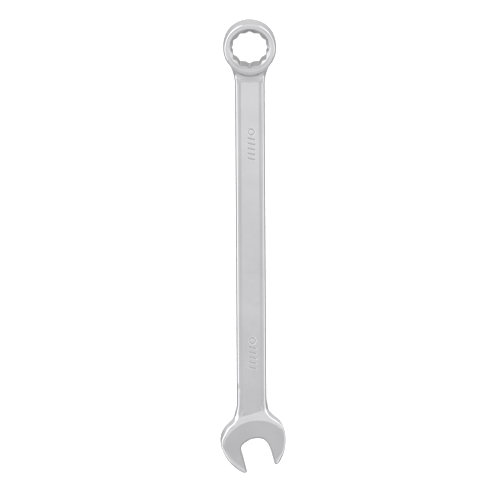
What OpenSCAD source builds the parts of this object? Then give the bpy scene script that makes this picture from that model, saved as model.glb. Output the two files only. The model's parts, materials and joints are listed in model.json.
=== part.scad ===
// Combination wrench: a 12-point box end and an open end on one flat, panelled shank.
// +X runs from the box end to the open end, +Z is up, and the wrench lies on z = 0.
// The real tool is one forging. Each node here is one region of it, cut where the
// shape changes, and neighbouring regions meet face to face.

/* [Overall] */
// Overall length, box tip to long jaw tip
overall_len = 208; // [200:1:220]
// Height of the upright wall along the edges, before the bevels start
land_h = 3.8; // [3.4:0.1:4.2]

/* [Box end] */
// Outer diameter of the ring
ring_d = 24.3; // [23.4:0.1:26]
// Height of the ring along its own axis
ring_h = 10; // [9:0.1:10.6]
// Rounding of the ring's outer rims
ring_round = 1.4; // [1:0.1:2]
// Tilt of the ring's axis towards the shank, in degrees
ring_tilt = 17; // [12:1:18]
// Size of the twelve-point opening across its flats
socket_size = 15.1; // [14.9:0.05:15.2]
// Radius of the lead-in chamfer where it meets the ring's end face
mouth_r = 9.8; // [9.4:0.1:10]
// Depth of the lead-in chamfer at the twelve outer corners
mouth_depth = 0.8; // [0.6:0.1:1.4]

/* [Shank] */
// Width of the shank
shank_w = 13.7; // [13:0.1:14.4]
// Thickness of the shank over its rails
shank_t = 5.4; // [5:0.1:6]
// Radius of the fillets from the ring to the shank
neck_fillet = 14.3; // [12:0.1:15]
// Width of the recessed panel on each face
panel_w = 9.6; // [8:0.1:10]
// Depth of the recessed panel
panel_depth = 0.5; // [0.3:0.1:0.7]

/* [Open end] */
// Size of the gap between the jaws
gap_size = 13.1; // [12.9:0.05:13.4]
// Thickness of the open end
head_t = 6.4; // [6:0.1:7]
// Half the width of the open end
head_half_w = 15; // [14.6:0.1:15.6]
// Angle between the jaws and the shank, in degrees
jaw_angle = 15; // [12:1:18]
// Reach of the jaws beyond the widest point of the head
jaw_reach = 14.9; // [14:0.1:15.4]
// Radius of each jaw's outer side
jaw_side_r = 19.2; // [18.6:0.1:20]
// Radius of the head's two shoulders
shoulder_r = 11; // [10.6:0.1:11.4]
// Radius of the fillets from the shank to the shoulders
head_fillet = 12; // [11:0.1:13]
// Radius of the throat's floor
throat_r = 9.3; // [9:0.1:10]

/* [Hidden] */
$fn = 96;

// The upright land is centred on the mid-plane of the open end and the shank.
mid_z = head_t / 2;
half_land = land_h / 2;
shank_half_w = shank_w / 2;
shank_top = mid_z + shank_t / 2;
shank_bottom = mid_z - shank_t / 2;

// Ring: its tip sits at the box end's limit, and its lowest rim touches z = 0.
ring_r = ring_d / 2;
rim_r = ring_r - ring_round;
rim_h = ring_h / 2 - ring_round;
ring_x = -overall_len / 2 + rim_r * cos(ring_tilt) + rim_h * sin(ring_tilt) + ring_round;
ring_z = rim_r * sin(ring_tilt) + rim_h * cos(ring_tilt) + ring_round;
corner_r = socket_size / 2 / cos(30);
mouth_slope = (mouth_r - corner_r) / mouth_depth;
cutter_over = 1;

// Neck fillet: tangent to the shank's side and to the ring.
neck_centre_y = shank_half_w + neck_fillet;
neck_reach = ring_r + neck_fillet;
neck_centre_x = ring_x + sqrt(pow(neck_reach, 2) - pow(neck_centre_y, 2));
neck_touch_x = ring_x + (neck_centre_x - ring_x) * ring_r / neck_reach;
neck_touch_y = neck_centre_y * ring_r / neck_reach;

// Head: the jaw tip's outer corner sets its place along X.
jaw_side_offset = jaw_side_r - head_half_w;
shoulder_offset = head_half_w - shoulder_r;
tip_q = sqrt(pow(jaw_side_r, 2) - pow(jaw_reach, 2)) - jaw_side_offset;
head_x = overall_len / 2 - jaw_reach * cos(jaw_angle) - tip_q * sin(jaw_angle);
head_y = 0.4;
half_gap = gap_size / 2;
throat_p = 0.1;
throat_q = -0.7;
jaw_split_p = 4.6;
tip_bevel = 0.7;

// Shoulder centres, and the fillets that run from the shank's sides into the shoulders.
shoulder_x = [for (side = [1, -1]) head_x - side * shoulder_offset * sin(jaw_angle)];
shoulder_y = [for (side = [1, -1]) side * head_y + shoulder_offset * cos(jaw_angle)];
fillet_y = shank_half_w + head_fillet;
// The fillets cross the shoulders a little, so that the two surfaces meet in a clean edge.
shoulder_overlap = 0.1;
fillet_reach = shoulder_r + head_fillet - shoulder_overlap;
fillet_x = [for (i = [0, 1]) shoulder_x[i] - sqrt(pow(fillet_reach, 2) - pow(fillet_y - shoulder_y[i], 2))];
head_touch_x = [for (i = [0, 1]) fillet_x[i] + (shoulder_x[i] - fillet_x[i]) * head_fillet / fillet_reach];
head_touch_y = [for (i = [0, 1]) fillet_y + (shoulder_y[i] - fillet_y) * head_fillet / fillet_reach];

// Ramp from the panel's floor up to the open end, square to the jaws.
panel_floor = shank_top - panel_depth;
ramp_foot_p = -9.9;
ramp_top_p = -7.8;
ramp_slope = (head_t - panel_floor) / (ramp_top_p - ramp_foot_p);
ramp_rail_p = ramp_foot_p + panel_depth / ramp_slope;

// Planes across X where the shank begins and ends.
shank_start_x = -72.5;
shank_end_x = 68;

// Rise of the neck's top to the ring: one concave arc, level where it starts beside the panel.
neck_foot_x = -75;
neck_top_x = -79.6;
neck_top_z = 9.2;
neck_rise_r = (pow(neck_foot_x - neck_top_x, 2) + pow(neck_top_z - shank_top, 2))
    / (neck_top_z - shank_top) / 2;

// The panels' square ends, beside the ring.
panel_start_x = -76;
panel_corner_r = 1;

// Reach of the cutters past what they cut.
far = 40;
ramp_reach = 60;
bevel_reach = 8;

// Outline of what is cut away beside an edge: upright over the land, then 45 degrees inwards.
module edge_cutter_profile(depth) {
    polygon([
        [-depth, -bevel_reach],
        [bevel_reach - half_land, -bevel_reach],
        [0, -half_land],
        [0, half_land],
        [bevel_reach - half_land, bevel_reach],
        [-depth, bevel_reach]
    ]);
}

// Disc that cuts a concave fillet with bevelled edges.
module fillet_cutter(r) {
    rotate_extrude()
        translate([r, 0])
            edge_cutter_profile(r);
}

// Disc with the same land and bevels on its convex edge.
module bevelled_disc(r) {
    bevel = head_t / 2 - half_land;
    rotate_extrude()
        polygon([
            [0, -head_t / 2],
            [r - bevel, -head_t / 2],
            [r, -half_land],
            [r, half_land],
            [r - bevel, head_t / 2],
            [0, head_t / 2]
        ]);
}

// Slab that keeps everything between two planes across X.
module slab(x_from, x_to) {
    translate([x_from, -far, -far])
        cube([x_to - x_from, 2 * far, 2 * far]);
}

// Places its children in the ring's own frame, axis up.
module in_ring_frame() {
    translate([ring_x, 0, ring_z])
        rotate([0, ring_tilt, 0])
            children();
}

// Places its children in the head's frame: X along the jaws, Y across them.
module in_head_frame() {
    translate([head_x, head_y, mid_z])
        rotate([0, 0, jaw_angle])
            children();
}

// Ring without its opening, with rounded rims.
module ring_blank() {
    rotate_extrude() {
        translate([0, -ring_h / 2])
            square([rim_r, ring_h]);
        translate([0, -rim_h])
            square([ring_r, 2 * rim_h]);
        for (side = [-1, 1])
            intersection() {
                translate([rim_r, side * rim_h])
                    circle(r = ring_round);
                translate([rim_r / 2, -ring_h])
                    square([ring_r, 2 * ring_h]);
            }
    }
}

// Two hexagons, 30 degrees apart, with a cone at each mouth.
module twelve_point_opening() {
    for (turn = [0, 30])
        rotate([0, 0, turn])
            cylinder(h = ring_h + 2 * cutter_over, r = corner_r, center = true, $fn = 6);
    cone_bottom_r = corner_r - mouth_slope * 2;
    cone_top_r = mouth_r + mouth_slope * cutter_over;
    for (side = [0, 1])
        mirror([0, 0, side])
            translate([0, 0, ring_h / 2 - mouth_depth - 2])
                cylinder(h = mouth_depth + 2 + cutter_over, r1 = cone_bottom_r, r2 = cone_top_r);
}

// Side view of the handle: flat along the shank, rising to the ring. Its open end is as thick
// as the head, and the ramps are cut afterwards.
module handle_side_view() {
    polygon([
        [ring_x, shank_bottom],
        [head_x - ramp_reach / 2, shank_bottom],
        [head_x - ramp_reach / 2, 0],
        [head_x, 0],
        [head_x, head_t],
        [head_x - ramp_reach / 2, head_t],
        [head_x - ramp_reach / 2, shank_top],
        [neck_foot_x, shank_top],
        [neck_top_x, neck_top_z],
        [ring_x, neck_top_z]
    ]);
}

// Top view of the handle before the fillets are cut.
module handle_top_view() {
    polygon([
        [ring_x, 0],
        [neck_touch_x, neck_touch_y],
        [neck_centre_x, shank_half_w],
        [fillet_x[0], shank_half_w],
        [head_touch_x[0], head_touch_y[0]],
        [shoulder_x[0], shoulder_y[0]],
        [shoulder_x[1], -shoulder_y[1]],
        [head_touch_x[1], -head_touch_y[1]],
        [fillet_x[1], -shank_half_w],
        [neck_centre_x, -shank_half_w],
        [neck_touch_x, -neck_touch_y]
    ]);
}

// Cuts away what lies above a profile drawn along the jaws, over the whole width.
module profile_cutter(points) {
    translate([head_x, head_y, 0])
        rotate([90, 0, jaw_angle])
            linear_extrude(height = overall_len, center = true)
                polygon(points);
}

// Thins the top face to the shank's thickness, up to the ramp.
module ramp_cutter() {
    profile_cutter([
        [-ramp_reach, shank_top],
        [ramp_rail_p, shank_top],
        [ramp_top_p, head_t],
        [ramp_top_p, head_t + 1],
        [-ramp_reach, head_t + 1]
    ]);
}

// Recess of the panel on the top face, square at the ring end and closed by the ramp.
module panel_cutter() {
    intersection() {
        profile_cutter([
            [-overall_len, panel_floor],
            [ramp_foot_p, panel_floor],
            [ramp_top_p, head_t],
            [ramp_top_p, head_t + 1],
            [-overall_len, head_t + 1]
        ]);
        union() {
            translate([panel_start_x + panel_corner_r, -panel_w / 2, 0])
                cube([overall_len, panel_w, far]);
            translate([panel_start_x, -panel_w / 2 + panel_corner_r, 0])
                cube([overall_len, panel_w - 2 * panel_corner_r, far]);
            for (side = [-1, 1])
                translate([panel_start_x + panel_corner_r, side * (panel_w / 2 - panel_corner_r), 0])
                    cylinder(h = far, r = panel_corner_r);
        }
    }
}

// Everything between the ring and the jaws, with bevelled edges.
module handle_blank() {
    difference() {
        intersection() {
            linear_extrude(height = far)
                handle_top_view();
            rotate([90, 0, 0])
                linear_extrude(height = 2 * far, center = true)
                    handle_side_view();
        }
        for (side = [0, 1])
            mirror([0, side, 0]) {
                translate([neck_centre_x, neck_centre_y, mid_z])
                    fillet_cutter(neck_fillet);
                translate([fillet_x[side], fillet_y, mid_z])
                    fillet_cutter(head_fillet);
                translate([neck_centre_x, shank_half_w, mid_z])
                    rotate([90, 0, 90])
                        linear_extrude(height = fillet_x[side] - neck_centre_x)
                            mirror([1, 0])
                                edge_cutter_profile(head_fillet);
            }
        translate([neck_foot_x, 0, shank_top + neck_rise_r])
            rotate([90, 0, 0])
                cylinder(h = 2 * far, r = neck_rise_r, center = true);
    }
}

// Outline of the open end, before the jaws are parted.
module head_blank() {
    in_head_frame() {
        intersection() {
            for (side = [-1, 1])
                translate([0, side * shoulder_offset, 0])
                    bevelled_disc(shoulder_r);
            translate([-far, -far, -far])
                cube([far, 2 * far, 2 * far]);
        }
        intersection() {
            translate([0, jaw_side_offset, 0])
                bevelled_disc(jaw_side_r);
            translate([0, -jaw_side_offset, 0])
                bevelled_disc(jaw_side_r);
            translate([0, -far, -far])
                cube([jaw_reach, 2 * far, 2 * far]);
        }
    }
}

// Handle and head together, with the ramp and the panel on both faces.
module body_blank() {
    difference() {
        union() {
            handle_blank();
            head_blank();
        }
        for (side = [0, 1])
            translate([0, 0, side * 2 * mid_z])
                mirror([0, 0, side]) {
                    ramp_cutter();
                    panel_cutter();
                }
    }
}

// Space between the jaws, with the curved floor of the throat.
module jaw_gap() {
    in_head_frame()
        translate([0, 0, -far])
            linear_extrude(height = 2 * far) {
                intersection() {
                    translate([throat_p + throat_r, throat_q])
                        circle(r = throat_r);
                    translate([0, -half_gap])
                        square([throat_r, 2 * half_gap]);
                }
                translate([throat_r, -half_gap])
                    square([far, 2 * half_gap]);
                for (side = [-1, 1])
                    translate([jaw_reach, side * half_gap])
                        rotate([0, 0, 45])
                            square(tip_bevel * sqrt(2), center = true);
            }
}

// Block in the head's frame, to keep one region of the open end.
module head_region(p_from, p_to, q_from = -far, q_to = far) {
    in_head_frame()
        translate([p_from, q_from, -far])
            cube([p_to - p_from, q_to - q_from, 2 * far]);
}

module box_end_ring() {
    color("#c9ccd0")
        in_ring_frame()
            difference() {
                ring_blank();
                twelve_point_opening();
            }
}

module ring_neck() {
    color("#b9bcc1")
        difference() {
            intersection() {
                body_blank();
                slab(ring_x, shank_start_x);
            }
            in_ring_frame() {
                ring_blank();
                cylinder(h = far, r = rim_r, center = true);
            }
        }
}

module shank() {
    color("#d2d4d8")
        intersection() {
            body_blank();
            slab(shank_start_x, shank_end_x);
        }
}

module head_neck() {
    color("#b9bcc1")
        intersection() {
            body_blank();
            slab(shank_end_x, overall_len);
            head_region(-far, ramp_top_p);
        }
}

module jaw_root() {
    color("#c9ccd0")
        difference() {
            intersection() {
                body_blank();
                head_region(ramp_top_p, jaw_split_p);
            }
            jaw_gap();
        }
}

// One jaw, from its root to its tip: side is 1 for the short jaw and -1 for the long one.
module jaw(side) {
    difference() {
        intersection() {
            head_blank();
            head_region(jaw_split_p, far, min(side * far, 0), max(side * far, 0));
        }
        jaw_gap();
    }
}

module long_jaw() {
    color("#d2d4d8")
        jaw(-1);
}

module short_jaw() {
    color("#d2d4d8")
        jaw(1);
}

box_end_ring();
ring_neck();
shank();
head_neck();
jaw_root();
long_jaw();
short_jaw();
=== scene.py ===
"""Combination wrench: one forged, ground and chrome-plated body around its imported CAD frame.

The forging is a signed distance function in millimetres. It is meshed once, so that its curves
run smoothly from region to region, and then cut by planes into one closed piece for each CAD
node.

x, y and z are the CAD's axes. u, v and w are the ring's own, with w along its opening. p and q
run along the jaws and across them, from the head's centre. The wrench lies along x, the box end
at low x, the long jaw on the side of low y.
"""

import json
import math

import bmesh
import bpy
import numpy as np
from mathutils import Matrix, Vector


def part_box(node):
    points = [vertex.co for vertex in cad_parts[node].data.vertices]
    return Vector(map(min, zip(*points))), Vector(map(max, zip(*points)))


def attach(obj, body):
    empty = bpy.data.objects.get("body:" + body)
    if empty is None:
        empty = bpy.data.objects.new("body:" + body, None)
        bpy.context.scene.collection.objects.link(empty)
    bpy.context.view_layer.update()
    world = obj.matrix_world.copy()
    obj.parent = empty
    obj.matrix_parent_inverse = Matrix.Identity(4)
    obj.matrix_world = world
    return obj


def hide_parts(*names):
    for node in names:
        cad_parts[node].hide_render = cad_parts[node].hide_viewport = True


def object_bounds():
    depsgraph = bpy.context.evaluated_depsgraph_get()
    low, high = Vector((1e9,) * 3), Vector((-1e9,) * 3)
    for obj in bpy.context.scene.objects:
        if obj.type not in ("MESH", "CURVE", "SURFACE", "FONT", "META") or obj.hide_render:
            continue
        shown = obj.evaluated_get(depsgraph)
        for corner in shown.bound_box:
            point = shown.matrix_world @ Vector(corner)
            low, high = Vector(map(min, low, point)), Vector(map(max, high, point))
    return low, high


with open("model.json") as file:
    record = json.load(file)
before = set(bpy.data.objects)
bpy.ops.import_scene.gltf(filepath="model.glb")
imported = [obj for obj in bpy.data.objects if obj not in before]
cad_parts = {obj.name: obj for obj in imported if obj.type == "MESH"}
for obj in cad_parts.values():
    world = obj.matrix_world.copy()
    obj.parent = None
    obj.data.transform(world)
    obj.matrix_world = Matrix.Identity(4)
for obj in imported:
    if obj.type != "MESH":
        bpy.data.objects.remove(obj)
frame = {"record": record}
cad_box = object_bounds()

MM = 0.001
BODY = "root"

# ---------------------------------------------------------------- driving dimensions, in mm
# What the frame doesn't say repeats part.scad's values. Roundings, blends, the throat and
# STAR_SHIFT, which moves the opening towards the shank, follow the photo more closely than the
# CAD's bevels do.
TINY = 1e-9
mounts = {m["name"]: m for m in frame["record"]["mounts"]}
socket = mounts["box_end_socket"]
cad_low, cad_high = [np.array(corner) / MM for corner in cad_box]
ring_low, ring_high = [np.array(corner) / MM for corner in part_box("box_end_ring")]
head_low, head_high = [np.array(corner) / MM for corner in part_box("jaw_root")]
shank_low, shank_high = [np.array(corner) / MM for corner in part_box("shank")]

RING_X, RING_Y, RING_Z = [value / MM for value in socket["pos_m"]]
RING_SIN, RING_COS = socket["axis"][0], socket["axis"][2]
RING_R = (ring_high[1] - ring_low[1]) / 2
RING_H = 10.0
RING_ROUND = 1.7
SOCKET_SIZE = 15.1
CORNER_R = SOCKET_SIZE / 2 / math.cos(math.radians(30))
MOUTH_R = 9.8
MOUTH_DEPTH = 0.8
MOUTH_ROUND = 0.35
STAR_ROUND = 0.12
STAR_SHIFT = 0.3

SHANK_T = 5.4
SHANK_HALF_W = 6.85
HEAD_T = head_high[2] - head_low[2]
MID_Z = (head_low[2] + head_high[2]) / 2
PANEL_DEPTH = 0.5
PANEL_WALL = 1.8
PANEL_START_X = -76.0
PANEL_END_WALL = 1.6
RAIL_W = 2.05
RAIL_END_P = (-20.0, -10.5)
NECK_FILLET = 20.0
NECK_X = RING_X + math.sqrt((RING_R + NECK_FILLET) ** 2 - (SHANK_HALF_W + NECK_FILLET) ** 2)
NECK_Y = SHANK_HALF_W + NECK_FILLET
NECK_END_X = -72.5
NECK_HOLLOW_R = 4.2
NECK_BELOW_FACE = 0.6
NECK_BLEND = 0.7
NECK_FADE_X, NECK_FADE = -73.3, 5.0
NECK_SHARPER = 0.25

JAW_ANGLE = math.atan2(-mounts["long_jaw_face"]["axis"][0], mounts["long_jaw_face"]["axis"][1])
JAW_SIN, JAW_COS = math.sin(JAW_ANGLE), math.cos(JAW_ANGLE)
HEAD_HALF_W = 14.99
JAW_REACH = 14.9
JAW_SIDE_R = 19.2
JAW_TIP_ROUND = 0.9
JAW_TIP_INNER = 1.1
GAP_SIZE = 13.1
SHOULDER_R = 11.0
SHOULDER_OFFSET = HEAD_HALF_W - SHOULDER_R
HEAD_FILLET = 12.0
TIP_Q = math.sqrt(JAW_SIDE_R**2 - JAW_REACH**2) - (JAW_SIDE_R - HEAD_HALF_W)
HEAD_X = cad_high[0] - JAW_REACH * JAW_COS - TIP_Q * JAW_SIN
HEAD_Y = 0.4
SIDE_SPLIT_X = 70.0

# How broadly the outline's edges are rounded, at places along the jaws' direction.
EDGE_START_X = 60.0
EDGE_PLACES = [-17.0, -11.0, -8.5, -5.0, -1.0, 4.0, 11.0]
EDGE_LONG_SIDE = [2.2, 2.5, 2.5, 1.9, 1.2, 1.1, 1.2]
EDGE_SHORT_SIDE = [1.8, 2.3, 2.4, 1.6, 0.9, 0.9, 1.3]

# The gap's floor is an arc, and meets the long jaw's face (-1) and the short jaw's (1).
THROAT_P, THROAT_Q, THROAT_R = 9.8, -0.3, 9.3
THROAT_CORNERS = {-1: 0.9, 1: 2.6}
GAP_EDGE = 0.6
GAP_START_X = HEAD_X - 5

# The ramp from the shank's face to the head's, and the flare that falls away beside it.
RAMP_START_X = 66.0
RAMP_FOOT_P, RAMP_FOOT_BLEND = -9.9, 0.3
RAMP_TOP_BLEND, RAMP_TOP_REACH = 0.15, 1.0
FACE_ARC_P, FACE_ARC_R = 10.0, 18.0
FLARE_SLOPE = 0.5
FLARE_START_P, FLARE_END_P, FLARE_FADE = -15.0, -0.5, 5.0
FLARE_WIDTH_PLACES, FLARE_WIDTHS = (-10.0, -3.0), (3.0, 2.0)
FLARE_FOOT_P, FLARE_FOOT_Q = -5.0, 3.5
FLARE_FOOT_BLEND, FLARE_FOOT_FADE = 1.3, 3.0
WORN_SLOPE, WORN_WIDTH = 0.24, 2.3
WORN_LONG_P, WORN_LONG_FADE = 1.0, 4.0
WORN_SHORT_P, WORN_SHORT_FADE = 10.0, 3.0
FALL_BLEND = 0.5

MARKS_X = (-46.5, 49.0)
MARKS_Y = 0.6
MARKS_HALF_LENGTH = 7.4
MARKS_HEIGHT = 3.0
MARKS_CLEARANCE = 1.0
HEXAGON_PLACE = -5.8
BAR_PLACES = (-2.6, -0.3, 2.0, 4.3, 6.6)
BAR_SLANT = 0.25
MARK_STROKE = 0.55
MARK_WALL = 0.8 * MARK_STROKE
MARK_DEPTH = 0.33


# ---------------------------------------------------------------- distance functions
def soft_max(a, b, blend):
    """The larger of two distances, with the crease between them rounded over the blend width."""
    near = np.maximum(blend - np.abs(a - b), 0.0) / blend
    return np.maximum(a, b) + near * near * blend / 4


def soft_min(a, b, blend):
    """The smaller of two distances, rounded in the same way."""
    return -soft_max(-a, -b, blend)


def round_edge(a, b, radius):
    """Intersection of two distances with a circular rounding along their common edge."""
    corner = np.hypot(np.maximum(a + radius, 0.0), np.maximum(b + radius, 0.0))
    return np.minimum(np.maximum(a, b), -radius) + corner


def round_hollow(a, b, radius):
    """Union of two distances with a circular fillet along their common hollow."""
    hollow = np.hypot(np.maximum(radius - a, 0.0), np.maximum(radius - b, 0.0))
    return np.maximum(np.minimum(a, b), radius) - hollow


def smooth_step(t):
    """0 up to 0, 1 from 1 on, and an even rise between."""
    t = np.clip(t, 0.0, 1.0)
    return t * t * (3 - 2 * t)


def head_coords(x, y):
    """Place along the jaws and across them, from the head's centre."""
    dx, dy = x - HEAD_X, y - HEAD_Y
    return dx * JAW_COS + dy * JAW_SIN, dy * JAW_COS - dx * JAW_SIN


def side_outline(x, y, p, q, side):
    """Distance to the handle's and head's outline on one side of the axis."""
    across = side * y
    shoulder_x = HEAD_X - side * SHOULDER_OFFSET * JAW_SIN
    shoulder_y = side * HEAD_Y + SHOULDER_OFFSET * JAW_COS
    fillet_y = SHANK_HALF_W + HEAD_FILLET
    reach = math.sqrt((SHOULDER_R + HEAD_FILLET) ** 2 - (fillet_y - shoulder_y) ** 2)
    fillet_x = shoulder_x - reach
    neck = NECK_FILLET - np.hypot(x - NECK_X, across - NECK_Y)
    straight = across - SHANK_HALF_W
    fillet = HEAD_FILLET - np.hypot(x - fillet_x, across - fillet_y)
    shoulder = np.hypot(x - shoulder_x, across - shoulder_y) - SHOULDER_R
    jaw = np.hypot(p, np.abs(q) + JAW_SIDE_R - HEAD_HALF_W) - JAW_SIDE_R
    past_fillet = reach * (across - fillet_y) - (shoulder_y - fillet_y) * (x - fillet_x) > 0
    handle = np.where(x < NECK_X, neck, np.where(x < fillet_x, straight, fillet))
    head = np.where(p < 0, shoulder, jaw)
    return np.where((x > fillet_x) & past_fillet, head, handle)


def outline(x, y):
    """Distance to the wrench's outline seen from above, without the ring."""
    p, q = head_coords(x, y)
    long_side = np.where(x > SIDE_SPLIT_X, q < 0, y < 0)
    edge = np.where(long_side, side_outline(x, y, p, q, -1), side_outline(x, y, p, q, 1))
    return round_edge(edge, p - JAW_REACH, JAW_TIP_ROUND)


def edge_radius(x, y):
    """How broadly the outline's upper and lower edges are rounded, from place to place."""
    p, q = head_coords(x, y)
    along = np.where(x > EDGE_START_X, p, EDGE_PLACES[0])
    long_side = np.interp(along, EDGE_PLACES, EDGE_LONG_SIDE)
    short_side = np.interp(along, EDGE_PLACES, EDGE_SHORT_SIDE)
    sharper = NECK_SHARPER * smooth_step((NECK_FADE_X - x) / NECK_FADE)
    return np.where(q < 0, long_side, short_side) * (1 - sharper)


def segment(x, y, a, b):
    """Distance in the plane to the straight stroke from a to b."""
    dx, dy = b[0] - a[0], b[1] - a[1]
    along = np.clip(((x - a[0]) * dx + (y - a[1]) * dy) / (dx * dx + dy * dy), 0, 1)
    return np.hypot(x - a[0] - along * dx, y - a[1] - along * dy)


def marks(x, y):
    """Depth of the two engraved marks: a hexagon's outline and a row of slanted bars."""
    depth = np.zeros_like(x)
    half = MARKS_HEIGHT / 2
    for centre in MARKS_X:
        near = np.abs(x - centre) < MARKS_HALF_LENGTH + MARKS_CLEARANCE
        if not near.any():
            continue
        along, across = x - centre, y - MARKS_Y
        hexagon = np.zeros_like(x)
        for turn in range(3):
            angle = math.radians(60 * turn)
            side = (along - HEXAGON_PLACE) * math.cos(angle) + across * math.sin(angle)
            hexagon = np.maximum(hexagon, np.abs(side))
        gap = np.abs(hexagon - half + MARK_STROKE / 2)
        lean = half * BAR_SLANT
        for place in BAR_PLACES:
            bar = segment(along, across, (place - lean, -half), (place + lean, half))
            gap = np.minimum(gap, bar)
        cut = smooth_step((MARK_STROKE / 2 - gap) / MARK_WALL + 0.5)
        depth = np.where(near, cut * MARK_DEPTH, depth)
    return depth


def panel_share(x, inset):
    """1 over the recessed panel, 0 outside it, with sloping walls between.

    inset is the way in from the outline.
    """
    across = smooth_step((inset - RAIL_W) / PANEL_WALL + 0.5)
    along = smooth_step((x - PANEL_START_X) / PANEL_END_WALL + 0.5)
    return across * along


def face_height(x, y, inset):
    """Height of either face above the mid-plane."""
    rail, floor = SHANK_T / 2, SHANK_T / 2 - PANEL_DEPTH
    p, q = head_coords(x, y)
    rail_left = smooth_step((RAIL_END_P[1] - p) / (RAIL_END_P[1] - RAIL_END_P[0]))
    level = floor + (rail - floor) * (1 - panel_share(x, inset)) * rail_left
    top_p = FACE_ARC_P - np.sqrt(np.maximum(FACE_ARC_R**2 - q * q, 1.0))
    ramp = floor + (HEAD_T / 2 - floor) * (p - RAMP_FOOT_P) / (top_p - RAMP_FOOT_P)
    ramp = soft_min(ramp, HEAD_T / 2, RAMP_TOP_BLEND)
    ramp = np.where(p > top_p + RAMP_TOP_REACH, HEAD_T / 2, ramp)
    # Beside the ramp the face falls away to the flared outline.
    flare = smooth_step((p - FLARE_START_P) / FLARE_FADE)
    flare = flare * smooth_step((FLARE_END_P - p) / FLARE_FADE)
    wide = np.interp(p, FLARE_WIDTH_PLACES, FLARE_WIDTHS)
    fall = soft_max(wide - inset, 0, FALL_BLEND) * FLARE_SLOPE * flare
    # On the long jaw's side the ramp's foot is softer beside the flare.
    softer = smooth_step((-q - FLARE_FOOT_Q) / FLARE_FOOT_FADE)
    softer = softer * smooth_step((FLARE_FOOT_P - p) / FLARE_FOOT_FADE)
    foot = RAMP_FOOT_BLEND + FLARE_FOOT_BLEND * softer
    # The long jaw's outer edge and both tips are ground off a little.
    ground_long = smooth_step((p - WORN_LONG_P) / WORN_LONG_FADE)
    ground_short = smooth_step((p - WORN_SHORT_P) / WORN_SHORT_FADE)
    ground = np.where(q < 0, ground_long, ground_short)
    fall = fall + soft_max(WORN_WIDTH - inset, 0, FALL_BLEND) * WORN_SLOPE * ground
    return np.where(x > RAMP_START_X, soft_max(level, ramp, foot) - fall, level)


def handle_and_head(x, y, z, ring):
    """Distance to everything but the ring, before the jaw gap is cut."""
    edge = outline(x, y)
    height = face_height(x, y, -edge)
    top, bottom = z - MID_Z - height + marks(x, y), MID_Z - z - height
    top = np.where(x < NECK_END_X, round_hollow(top, ring, NECK_HOLLOW_R), top)
    return round_edge(edge, np.maximum(top, bottom), edge_radius(x, y))


def jaw_gap(x, y):
    """Distance to the space between the jaws, negative inside it."""
    p, q = head_coords(x, y)
    floor = np.where(
        p < THROAT_P,
        np.hypot(p - THROAT_P, q - THROAT_Q) - THROAT_R,
        np.abs(q - THROAT_Q) - THROAT_R,
    )
    corner = np.where(q < 0, THROAT_CORNERS[-1], THROAT_CORNERS[1])
    gap = round_edge(np.abs(q) - GAP_SIZE / 2, floor, corner)
    # The gap opens round the inner corners of both tips.
    ahead = p - JAW_REACH + JAW_TIP_INNER
    aside = GAP_SIZE / 2 + JAW_TIP_INNER - np.abs(q)
    tip = JAW_TIP_INNER - np.hypot(ahead, aside)
    return np.where((ahead > 0) & (aside > 0), np.minimum(gap, tip), gap)


def star_opening(u, v, w):
    """Distance to the twelve-point opening and its lead-in cones, negative inside it."""
    hexagons = []
    for turn in (0, 30):
        flats = [
            np.abs((u - STAR_SHIFT) * math.cos(a) + v * math.sin(a))
            for a in np.radians([turn + 30, turn + 90, turn + 150])
        ]
        hexagons.append(np.maximum(np.maximum(flats[0], flats[1]), flats[2]) - SOCKET_SIZE / 2)
    star = soft_min(hexagons[0], hexagons[1], STAR_ROUND)
    slope = (MOUTH_R - CORNER_R) / MOUTH_DEPTH
    cone = np.hypot(u, v) - MOUTH_R - slope * (np.abs(w) - RING_H / 2)
    return soft_min(star, cone / math.hypot(1, slope), STAR_ROUND)


def wrench(x, y, z):
    """Signed distance to the whole forging, in mm, negative inside."""
    dx, dz = x - RING_X, z - RING_Z
    u, v, w = dx * RING_COS - dz * RING_SIN, y - RING_Y, dx * RING_SIN + dz * RING_COS
    rad = np.hypot(u, v)
    ring = round_edge(rad - RING_R, np.abs(w) - RING_H / 2, RING_ROUND)
    body = handle_and_head(x, y, z, ring)
    # The neck stops at the ring's outer wall, and stays below its upper face.
    touch = np.array([NECK_X - RING_X, NECK_Y]) / (RING_R + NECK_FILLET)
    body = np.maximum(body, touch[0] * np.abs(y) - touch[1] * dx)
    body = np.maximum(body, RING_R - RING_ROUND - rad)
    body = np.where(x < NECK_END_X, np.maximum(body, w - RING_H / 2 + NECK_BELOW_FACE), body)
    solid = np.where(x < NECK_END_X, soft_min(ring, body, NECK_BLEND), body)
    solid = np.maximum(solid, -z)
    opened = round_edge(solid, -star_opening(u, v, w), MOUTH_ROUND)
    solid = np.where(x < RING_X + RING_R, opened, solid)
    return np.where(x > GAP_START_X, round_edge(solid, -jaw_gap(x, y), GAP_EDGE), solid)


# ---------------------------------------------------------------- meshing
def grid_lines(*spans):
    """Grid coordinates from (start, end, step) spans that follow one another."""
    lines = [np.linspace(a, b, max(2, round((b - a) / step) + 1))[:-1] for a, b, step in spans]
    return np.concatenate(lines + [[spans[-1][1]]])


# From -THIN_X on the wrench stays below THIN_Z, and up to THIN_X within THIN_Y of its axis.
THIN_X, THIN_Y, THIN_Z = 66.0, 8.0, 7.5
MARGIN, MARGIN_Z = 0.9, 0.4
MARKS_MARGIN, MARKS_BAND = 0.3, 1.8
RAIL_FROM_Y, RAIL_TO_Y = 4.1, 7.4
BLOCK = 24
SETTLE_ROUNDS, SETTLE_STEP = 3, 0.08
SETTLE_REACH, NORMAL_REACH = 0.02, 0.03
LEAST_SLOPE = 0.05

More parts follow.
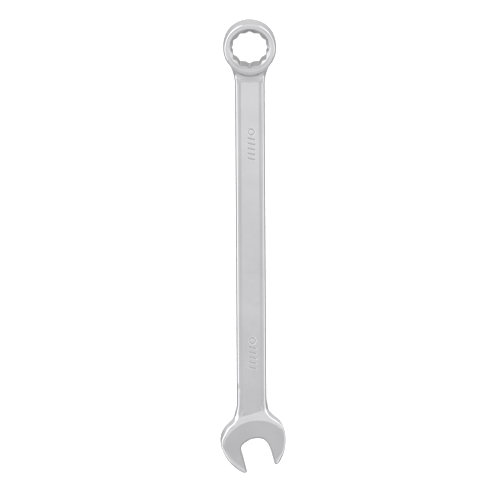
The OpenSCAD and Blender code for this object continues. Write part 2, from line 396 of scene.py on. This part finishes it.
# The grid is fine at both ends, over the marks and along the rails, and coarse elsewhere.
mark_spans = [
    (c - MARKS_HALF_LENGTH - MARKS_MARGIN, c + MARKS_HALF_LENGTH + MARKS_MARGIN) for c in MARKS_X
]
x_lines = grid_lines(
    (cad_low[0] - MARGIN, -70.5, 0.26),
    (-70.5, -THIN_X, 0.5),
    (-THIN_X, mark_spans[0][0], 1.1),
    (*mark_spans[0], 0.14),
    (mark_spans[0][1], mark_spans[1][0], 1.3),
    (*mark_spans[1], 0.14),
    (mark_spans[1][1], THIN_X, 1.0),
    (THIN_X, 75.0, 0.4),
    (75.0, cad_high[0] + MARGIN, 0.26),
)
y_lines = grid_lines(
    (cad_low[1] - MARGIN, -RAIL_TO_Y, 0.27),
    (-RAIL_TO_Y, -RAIL_FROM_Y, 0.17),
    (-RAIL_FROM_Y, MARKS_Y - MARKS_BAND, 0.35),
    (MARKS_Y - MARKS_BAND, MARKS_Y + MARKS_BAND, 0.13),
    (MARKS_Y + MARKS_BAND, RAIL_FROM_Y, 0.3),
    (RAIL_FROM_Y, RAIL_TO_Y, 0.17),
    (RAIL_TO_Y, cad_high[1] + MARGIN, 0.27),
)
z_lines = grid_lines(
    (cad_low[2] - MARGIN_Z, 1.25, 0.14),
    (1.25, 5.2, 0.3),
    (5.2, 6.7, 0.13),
    (6.7, cad_high[2] + MARGIN_Z, 0.27),
)


def sample(function):
    """The function at every grid node, a few planes at a time."""
    values = np.ones((len(x_lines), len(y_lines), len(z_lines)))
    for start in range(0, len(x_lines), BLOCK):
        xs = x_lines[start : start + BLOCK]
        past_ring = xs.min() > -THIN_X
        thin = past_ring and xs.max() < THIN_X
        ys = np.abs(y_lines) < THIN_Y if thin else np.ones(len(y_lines), bool)
        zs = z_lines < THIN_Z if past_ring else np.ones(len(z_lines), bool)
        gx, gy, gz = np.meshgrid(xs, y_lines[ys], z_lines[zs], indexing="ij")
        planes = np.arange(start, start + len(xs))
        place = np.ix_(planes, ys.nonzero()[0], zs.nonzero()[0])
        values[place] = function(gx, gy, gz)
    return values


def surface_net(values):
    """Vertices and outward quads of the zero surface: one vertex for each cell that it crosses."""
    inside = values < 0
    corners = [(i, j, k) for i in (0, 1) for j in (0, 1) for k in (0, 1)]
    shape = tuple(n - 1 for n in values.shape)

    def shifted(array, c):
        return array[c[0] : c[0] + shape[0], c[1] : c[1] + shape[1], c[2] : c[2] + shape[2]]

    filled = sum(shifted(inside, c).astype(np.int8) for c in corners)
    cells = np.argwhere((filled > 0) & (filled < len(corners)))
    index = np.full(shape, -1)
    index[tuple(cells.T)] = np.arange(len(cells))

    total, count = np.zeros((len(cells), 3)), np.zeros(len(cells))
    for a in corners:
        for axis in range(3):
            if a[axis]:
                continue
            b = tuple(value + (n == axis) for n, value in enumerate(a))
            at, bt = cells + a, cells + b
            fa, fb = values[tuple(at.T)], values[tuple(bt.T)]
            crossing = (fa < 0) != (fb < 0)
            share = np.where(crossing, fa / np.where(crossing, fa - fb, 1), 0)[:, None]
            pa = np.stack([x_lines[at[:, 0]], y_lines[at[:, 1]], z_lines[at[:, 2]]], 1)
            pb = np.stack([x_lines[bt[:, 0]], y_lines[bt[:, 1]], z_lines[bt[:, 2]]], 1)
            total += np.where(crossing[:, None], pa + (pb - pa) * share, 0)
            count += crossing
    points = total / count[:, None]

    quads = []
    for axis in range(3):
        second, third = (axis + 1) % 3, (axis + 2) % 3
        low = [slice(None)] * 3
        high = [slice(None)] * 3
        low[axis], high[axis] = slice(None, -1), slice(1, None)
        edges = np.argwhere(inside[tuple(low)] != inside[tuple(high)])
        outward = inside[tuple(edges.T)]
        ring = []
        for back_second, back_third in ((1, 1), (0, 1), (0, 0), (1, 0)):
            cell = edges.copy()
            cell[:, second] -= back_second
            cell[:, third] -= back_third
            ring.append(index[tuple(cell.T)])
        quad = np.stack(ring, 1)
        quads.append(np.where(outward[:, None], quad, quad[:, ::-1]))
    return points, np.concatenate(quads)


def gradient(function, points, reach):
    """Central differences of the function at each point."""
    slope = np.empty_like(points)
    for axis in range(3):
        step = np.zeros(3)
        step[axis] = reach
        ahead, behind = points + step, points - step
        slope[:, axis] = (function(*ahead.T) - function(*behind.T)) / (2 * reach)
    return slope


def settle(function, points):
    """Moves the points onto the zero surface, at most a short way each round."""
    for _ in range(SETTLE_ROUNDS):
        slope = gradient(function, points, SETTLE_REACH)
        steep = np.maximum((slope**2).sum(1), LEAST_SLOPE)
        move = -(function(*points.T) / steep)[:, None] * slope
        far = np.linalg.norm(move, axis=1, keepdims=True)
        points = points + move * np.minimum(1, SETTLE_STEP / np.maximum(far, TINY))
    return points


points, quads = surface_net(sample(wrench))
points = settle(wrench, points)

whole = bmesh.new()
for point in points * MM:
    whole.verts.new(point)
whole.verts.ensure_lookup_table()
for quad in quads:
    whole.faces.new([whole.verts[i] for i in quad])


# ---------------------------------------------------------------- pieces
CUT_TOLERANCE = 1e-8


def parted(mesh, at, normal):
    """Cuts a closed mesh in two by a plane, and closes both cuts: (behind the plane, beyond it)."""
    halves = []
    for keep_beyond in (False, True):
        half = mesh.copy()
        bmesh.ops.bisect_plane(
            half,
            geom=half.verts[:] + half.edges[:] + half.faces[:],
            dist=CUT_TOLERANCE,
            plane_co=at,
            plane_no=normal,
            clear_inner=keep_beyond,
            clear_outer=not keep_beyond,
        )
        rim = [e for e in half.edges if e.is_boundary]
        bmesh.ops.holes_fill(half, edges=rim, sides=0)
        halves.append(half)
    return halves


def head_point(p, q):
    """A point of the head's frame, in metres in the row frame."""
    x = HEAD_X + p * JAW_COS - q * JAW_SIN
    y = HEAD_Y + p * JAW_SIN + q * JAW_COS
    return Vector((x, y, MID_Z)) * MM


ALONG_X = Vector((1, 0, 0))
ALONG_JAWS = Vector((JAW_COS, JAW_SIN, 0))
ACROSS_JAWS = Vector((-JAW_SIN, JAW_COS, 0))
RING_END_X = -78.3
ROOT_P, SPLIT_P = -7.8, 4.6

# The first piece is what lies behind the first plane, and so on; the last takes what is left.
CUTS = [
    ("forged_box_ring", "box_end_ring", Vector((RING_END_X * MM, 0, 0)), ALONG_X),
    ("forged_ring_neck", "ring_neck", Vector((shank_low[0] * MM, 0, 0)), ALONG_X),
    ("forged_shank", "shank", Vector((shank_high[0] * MM, 0, 0)), ALONG_X),
    ("forged_head_neck", "head_neck", head_point(ROOT_P, 0), ALONG_JAWS),
    ("forged_jaw_root", "jaw_root", head_point(SPLIT_P, 0), ALONG_JAWS),
    ("forged_long_jaw", "long_jaw", head_point(0, 0), ACROSS_JAWS),
]
pieces, rest = [], whole
for piece_name, cad_node, at, normal in CUTS:
    part, rest = parted(rest, at, normal)
    pieces.append((piece_name, cad_node, part))
pieces.append(("forged_short_jaw", "short_jaw", rest))


# ---------------------------------------------------------------- chrome
TONE_STOPS = [(0.3, (0.60, 0.60, 0.613, 1)), (0.7, (0.655, 0.652, 0.667, 1))]
# Painted shade: the darker grey laid into hollows and creases.
HOLLOW_SHADE = (0.42, 0.42, 0.425, 1)
# Painted highlight: the lighter grey laid onto convex rounded edges.
EDGE_HIGHLIGHT = (0.74, 0.74, 0.745, 1)
# Painted shade: the darker grey of the socket's, mouth's and gap's cut walls.
PAINTED_WALL_SHADE = (0.37, 0.37, 0.375, 1)
METAL_IOR = 1.5
# Each noise is (scale, detail, roughness).
CLOUD_NOISE, PEEL_NOISE, LINES_NOISE = (55.0, 3.0, 0.55), (420.0, 2.0, 0.5), (1.0, 4.0, 0.6)
LINES_STRETCH = (30.0, 1700.0, 1700.0)
CLOUD_ROUGHNESS = (0.05, 0.1)
LINES_ROUGHNESS, PANEL_ROUGHNESS, BROACHED_ROUGHNESS = 0.04, 0.04, 0.22
PEEL_STRENGTH, PEEL_HEIGHT = 0.1, 0.00006
LINES_STRENGTH, LINES_HEIGHT = 0.22, 0.00002

# Where the finish changes: a limit and the width over which it fades, in mm or as a slope.
CURVE_REACH = 0.3
CURVE_START, CURVE_SPAN = 0.5, 2.5
# How strongly the painted highlight on convex edges and the painted shade in hollows show.
EDGE_HIGHLIGHT_SHARE, HOLLOW_SHADE_SHARE = 0.8, 0.3
STEEP_WALL, MOUTH_WALL = (0.5, 0.2), (0.94, 0.06)
SOCKET_BAND, MOUTH_BAND = (CORNER_R + 0.25, 0.2), (MOUTH_R + 0.1, 0.2)
GAP_BAND = (0.9, 0.5)
# The mouth's share of the dull broached finish and of the painted wall shade.
MOUTH_DULL_SHADE = 0.5
PANEL_END_X, PANEL_FLAT = 76, 0.9
MOST_FACE_SIDES = 8


def node(tree, kind, inputs=None, **values):
    """Adds a node; an input's value goes in by the input's name or number."""
    made = tree.nodes.new(kind)
    for key, value in (inputs or {}).items():
        made.inputs[key].default_value = value
    for key, value in values.items():
        setattr(made, key, value)
    return made


def chrome_material():
    """Satin-polished chrome over forged steel, all from noise and the pieces' own attributes."""
    material = bpy.data.materials.new("forged_chrome")
    material.use_nodes = True
    tree = material.node_tree
    tree.nodes.clear()
    link = tree.links.new
    out = node(tree, "ShaderNodeOutputMaterial")
    shader = node(tree, "ShaderNodeBsdfPrincipled", {"Metallic": 1.0, "IOR": METAL_IOR})
    link(shader.outputs[0], out.inputs["Surface"])
    place = node(tree, "ShaderNodeTexCoord").outputs["Object"]

    def noise(vector, scale, detail, roughness):
        made = node(
            tree,
            "ShaderNodeTexNoise",
            {"Scale": scale, "Detail": detail, "Roughness": roughness},
        )
        link(vector, made.inputs["Vector"])
        return made.outputs["Fac"]

    def attribute(key):
        return node(tree, "ShaderNodeAttribute", attribute_name=key).outputs["Fac"]

    def tinted(base, colour, share):
        mix = node(tree, "ShaderNodeMix", data_type="RGBA")
        mix.inputs["B"].default_value = colour
        link(share, mix.inputs["Factor"])
        link(base, mix.inputs["A"])
        return mix.outputs["Result"]

    def raised(base, source, factor):
        made = node(tree, "ShaderNodeMath", {1: factor}, operation="MULTIPLY_ADD")
        link(source, made.inputs[0])
        link(base, made.inputs[2])
        return made.outputs["Value"]

    def bumped(source, strength, height):
        made = node(tree, "ShaderNodeBump", {"Strength": strength, "Distance": height})
        link(source, made.inputs["Height"])
        return made

    # Slow clouding of the plating, in tone and in sheen.
    cloud = noise(place, *CLOUD_NOISE)
    tone = node(tree, "ShaderNodeValToRGB")
    for element, (position, colour) in zip(tone.color_ramp.elements, TONE_STOPS):
        element.position, element.color = position, colour
    link(cloud, tone.inputs["Fac"])

    # Painted shade darkens the hollows, and a painted highlight brightens convex edges. The cut
    # walls of the socket and of the gap are duller than the polished outside, and their darker
    # colour is painted shade.
    broached_and_shaded = attribute("broached_and_shaded")
    colour = tinted(tone.outputs["Color"], HOLLOW_SHADE, attribute("hollow"))
    colour = tinted(colour, EDGE_HIGHLIGHT, attribute("edge"))
    # The cut walls' darker colour is painted shade; their extra roughness below is a real duller
    # finish.
    colour = tinted(colour, PAINTED_WALL_SHADE, broached_and_shaded)
    link(colour, shader.inputs["Base Color"])

    # Polishing lines run along the wrench: noise stretched along x.
    stretch = node(tree, "ShaderNodeMapping", {"Scale": LINES_STRETCH})
    link(place, stretch.inputs["Vector"])
    lines = noise(stretch.outputs["Vector"], *LINES_NOISE)

    # Roughness: clouding, polishing lines, a duller panel floor and dull broached walls.
    clouded = node(tree, "ShaderNodeMapRange")
    clouded.inputs["To Min"].default_value, clouded.inputs["To Max"].default_value = CLOUD_ROUGHNESS
    link(cloud, clouded.inputs["Value"])
    rough = raised(clouded.outputs["Result"], lines, LINES_ROUGHNESS)
    rough = raised(rough, attribute("recess"), PANEL_ROUGHNESS)
    rough = raised(rough, broached_and_shaded, BROACHED_ROUGHNESS)
    link(rough, shader.inputs["Roughness"])

    # Bump: orange peel of the plating, then the polishing lines.
    peeled = bumped(noise(place, *PEEL_NOISE), PEEL_STRENGTH, PEEL_HEIGHT)
    scored = bumped(lines, LINES_STRENGTH, LINES_HEIGHT)
    link(peeled.outputs["Normal"], scored.inputs["Normal"])
    link(scored.outputs["Normal"], shader.inputs["Normal"])
    return material


def polygon_facts(data):
    """For each face corner: its vertex, its face's number of sides and its face's own normal."""
    sides = np.empty(len(data.polygons), int)
    flat = np.empty(len(data.polygons) * 3)
    vertex = np.empty(len(data.loops), int)
    data.polygons.foreach_get("loop_total", sides)
    data.polygons.foreach_get("normal", flat)
    data.loops.foreach_get("vertex_index", vertex)
    face = np.repeat(np.arange(len(sides)), sides)
    return vertex, sides[face], flat.reshape(-1, 3)[face]


def bend(at):
    """The distance function's Laplacian: positive on edges, negative in hollows."""
    total = -6 * wrench(*at.T)
    for axis in range(3):
        for way in (-CURVE_REACH, CURVE_REACH):
            step = np.zeros(3)
            step[axis] = way
            total += wrench(*(at + step).T)
    return total / CURVE_REACH**2


def below(value, limit, fade):
    """1 where the value is well below the limit, 0 from the limit on."""
    return smooth_step((limit - value) / fade)


def finish_shares(at, slope):
    """Where the finish is broached and darkened as painted shade, carries a painted edge highlight
    or painted hollow shade, or is dull, from 0 to 1 at each vertex.
    """
    x, y = at[:, 0], at[:, 1]
    dx, dz = x - RING_X, at[:, 2] - RING_Z
    rad = np.hypot(dx * RING_COS - dz * RING_SIN, y - RING_Y)
    lean = np.abs(slope[:, 0] * RING_SIN + slope[:, 2] * RING_COS)
    socket_wall = below(rad, *SOCKET_BAND) * below(lean, *STEEP_WALL)
    mouth = MOUTH_DULL_SHADE * below(lean, *MOUTH_WALL) * below(rad, *MOUTH_BAND)
    gap_wall = below(jaw_gap(x, y), *GAP_BAND) * (x > GAP_START_X)
    curve = bend(at)
    panel = panel_share(x, -outline(x, y))
    return {
        # Broached walls: a duller finish, and a darker colour that is painted shade.
        "broached_and_shaded": np.maximum(np.maximum(socket_wall, mouth), gap_wall),
        # Painted highlight on convex edges, where the Laplacian is positive.
        "edge": np.clip((curve - CURVE_START) / CURVE_SPAN, 0, 1) * EDGE_HIGHLIGHT_SHARE,
        # Painted shade in hollows, where the Laplacian is negative.
        "hollow": np.clip((-curve - CURVE_START) / CURVE_SPAN, 0, 1) * HOLLOW_SHADE_SHARE,
        "recess": panel * (x < PANEL_END_X) * (np.abs(slope[:, 2]) > PANEL_FLAT),
    }


def forged_piece(name, cad_node, mesh, material):
    """Turns one part of the forging into a piece, shaded by the distance function's own slope."""
    data = bpy.data.meshes.new(name)
    mesh.normal_update()
    mesh.to_mesh(data)
    data.materials.append(material)
    co = np.empty(len(data.vertices) * 3)
    data.vertices.foreach_get("co", co)
    at = co.reshape(-1, 3) / MM
    slope = gradient(wrench, at, NORMAL_REACH)
    slope /= np.maximum(np.linalg.norm(slope, axis=1, keepdims=True), TINY)

    # A cut's one face has many sides. It is flat, and keeps its own normal.
    vertex, sides, flat = polygon_facts(data)
    capped = sides > MOST_FACE_SIDES
    normals = slope[vertex]
    normals[capped] = flat[capped]
    data.shade_smooth()
    data.normals_split_custom_set(normals)

    for key, share in finish_shares(at, slope).items():
        layer = data.attributes.new(key, "FLOAT", "POINT")
        layer.data.foreach_set("value", share.astype(np.float32))

    piece = bpy.data.objects.new(name, data)
    bpy.context.scene.collection.objects.link(piece)
    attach(piece, BODY)
    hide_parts(cad_node)


chrome = chrome_material()
for piece_name, cad_node, part in pieces:
    forged_piece(piece_name, cad_node, part, chrome)


# ---------------------------------------------------------------- floor
FLOOR_HALF = 6.0
FLOOR_COLOUR = (0.93, 0.93, 0.93, 1)
FLOOR_ROUGHNESS, FLOOR_SPECULAR = 0.9, 0.1


def floor_material():
    """Pale matt studio paper."""
    material = bpy.data.materials.new("pale_floor")
    material.use_nodes = True
    shader = material.node_tree.nodes["Principled BSDF"]
    shader.inputs["Base Color"].default_value = FLOOR_COLOUR
    shader.inputs["Roughness"].default_value = FLOOR_ROUGHNESS
    shader.inputs["Specular IOR Level"].default_value = FLOOR_SPECULAR
    return material


floor_mesh = bpy.data.meshes.new("floor")
floor_corners = [
    (x * FLOOR_HALF, y * FLOOR_HALF, 0) for x, y in [(-1, -1), (1, -1), (1, 1), (-1, 1)]
]
floor_mesh.from_pydata(floor_corners, [], [(0, 1, 2, 3)])
floor_mesh.materials.append(floor_material())
floor = bpy.data.objects.new("floor", floor_mesh)
floor.visible_glossy = False
bpy.context.scene.collection.objects.link(floor)


# ---------------------------------------------------------------- light
# The studio light's grey by direction, as (place along a ramp, grey): overhead, at the sides
# and at the horizon.
ZENITH = [
    (0.3, 1.12),
    (0.4, 1.15),
    (0.46, 1.02),
    (0.505, 0.88),
    (0.58, 0.845),
    (0.7, 0.768),
    (0.85, 0.775),
]
SIDES = [
    (0.1, 1.05),
    (0.3, 1.13),
    (0.42, 0.85),
    (0.58, 0.8),
    (0.7, 1.0),
    (0.85, 0.98),
    (0.95, 0.85),
]
HORIZON = [(0.2, 0.94), (0.42, 0.58), (0.8, 0.58), (0.97, 0.82)]
ZENITH_REACH_X = 0.05
ZENITH_FROM_Z, HORIZON_TO_Z = (0.93, 0.985), (0.15, 0.45)

# Each strip's place, its length and width, and its radiance.
STRIPS = {
    "left_strip": ((-0.6, -3.0, 1.4), (9.0, 1.9), 1.0),
    "right_strip": ((-0.6, 3.1, 1.4), (7.6, 1.54), 0.8),
}
SUN_STRENGTH, SUN_ANGLE, SUN_HEIGHT = 2.8, math.radians(4), 3


def softbox(name, place, size, radiance):
    """A rectangular area light of this radiance, facing the middle of the wrench."""
    data = bpy.data.lights.new(name, "AREA")
    data.shape = "RECTANGLE"
    data.size, data.size_y = size
    data.energy = radiance * math.pi * size[0] * size[1]
    light = bpy.data.objects.new(name, data)
    light.location = place
    light.rotation_mode = "QUATERNION"
    light.rotation_quaternion = (-Vector(place)).to_track_quat("-Z", "Y")
    bpy.context.scene.collection.objects.link(light)


def grey_ramp(tree, source, stops):
    """A ramp of greys over a value from 0 to 1."""
    ramp = node(tree, "ShaderNodeValToRGB")
    band = ramp.color_ramp.elements
    while len(band) < len(stops):
        band.new(0.5)
    for element, (position, grey) in zip(band, stops):
        element.position, element.color = position, (grey, grey, grey, 1)
    tree.links.new(source, ramp.inputs["Fac"])
    return ramp.outputs["Color"]


def sky():
    """Soft studio light; overhead it is brighter towards the box end than towards the jaws."""
    world = bpy.data.worlds.new("studio")
    bpy.context.scene.world = world
    world.use_nodes = True
    tree = world.node_tree
    place = node(tree, "ShaderNodeTexCoord")
    parts = node(tree, "ShaderNodeSeparateXYZ")
    tree.links.new(place.outputs["Generated"], parts.inputs["Vector"])

    def spread(axis, low, high):
        share = node(tree, "ShaderNodeMapRange")
        share.inputs["From Min"].default_value, share.inputs["From Max"].default_value = low, high
        tree.links.new(parts.outputs[axis], share.inputs["Value"])
        return share.outputs["Result"]

    def over(share, below, above):
        mix = node(tree, "ShaderNodeMix", data_type="RGBA")
        tree.links.new(share, mix.inputs["Factor"])
        tree.links.new(below, mix.inputs["A"])
        tree.links.new(above, mix.inputs["B"])
        return mix.outputs["Result"]

    along = spread("X", -1, 1)
    zenith = grey_ramp(tree, spread("X", -ZENITH_REACH_X, ZENITH_REACH_X), ZENITH)
    sides = grey_ramp(tree, along, SIDES)
    horizon = grey_ramp(tree, along, HORIZON)
    upper = over(spread("Z", *ZENITH_FROM_Z), sides, zenith)
    everywhere = over(spread("Z", *HORIZON_TO_Z), horizon, upper)
    tree.links.new(everywhere, tree.nodes["Background"].inputs["Color"])


def floor_light():
    """Light from above that whitens the floor, and is not itself mirrored in the chrome."""
    data = bpy.data.lights.new("floor_light", "SUN")
    data.energy = SUN_STRENGTH
    data.angle = SUN_ANGLE
    light = bpy.data.objects.new("floor_light", data)
    light.location = (0, 0, SUN_HEIGHT)
    light.visible_glossy = False
    bpy.context.scene.collection.objects.link(light)


sky()
floor_light()
for strip_name, (strip_place, strip_size, strip_radiance) in STRIPS.items():
    softbox(strip_name, strip_place, strip_size, strip_radiance)


# ---------------------------------------------------------------- camera
# It looks straight down; VIEW_WIDTH is what it sees at FOCUS_HEIGHT, and ROLL is the photo's
# slight turn.
CAMERA_HEIGHT = 3.0
FOCUS_HEIGHT = 0.005
VIEW_WIDTH = 228.7 * MM
VIEW_CENTRE = Vector((1.7, -0.35, 0)) * MM
ROLL = 0.0057
SENSOR = 36.0
CLIP_NEAR, CLIP_FAR = 0.05, 50

camera_data = bpy.data.cameras.new("camera")
camera_data.sensor_width = SENSOR
camera_data.lens = SENSOR * (CAMERA_HEIGHT - FOCUS_HEIGHT) / VIEW_WIDTH
camera_data.clip_start, camera_data.clip_end = CLIP_NEAR, CLIP_FAR
camera = bpy.data.objects.new("camera", camera_data)
bpy.context.scene.collection.objects.link(camera)
right = Vector((ROLL, 1, 0)).normalized()
up = Vector((-1, ROLL, 0)).normalized()
pose = Matrix((right, up, Vector((0, 0, 1)))).transposed().to_4x4()
pose.translation = VIEW_CENTRE + Vector((0, 0, CAMERA_HEIGHT))
camera.matrix_world = pose
bpy.context.scene.camera = camera
bpy.context.scene.view_settings.view_transform = "Standard"
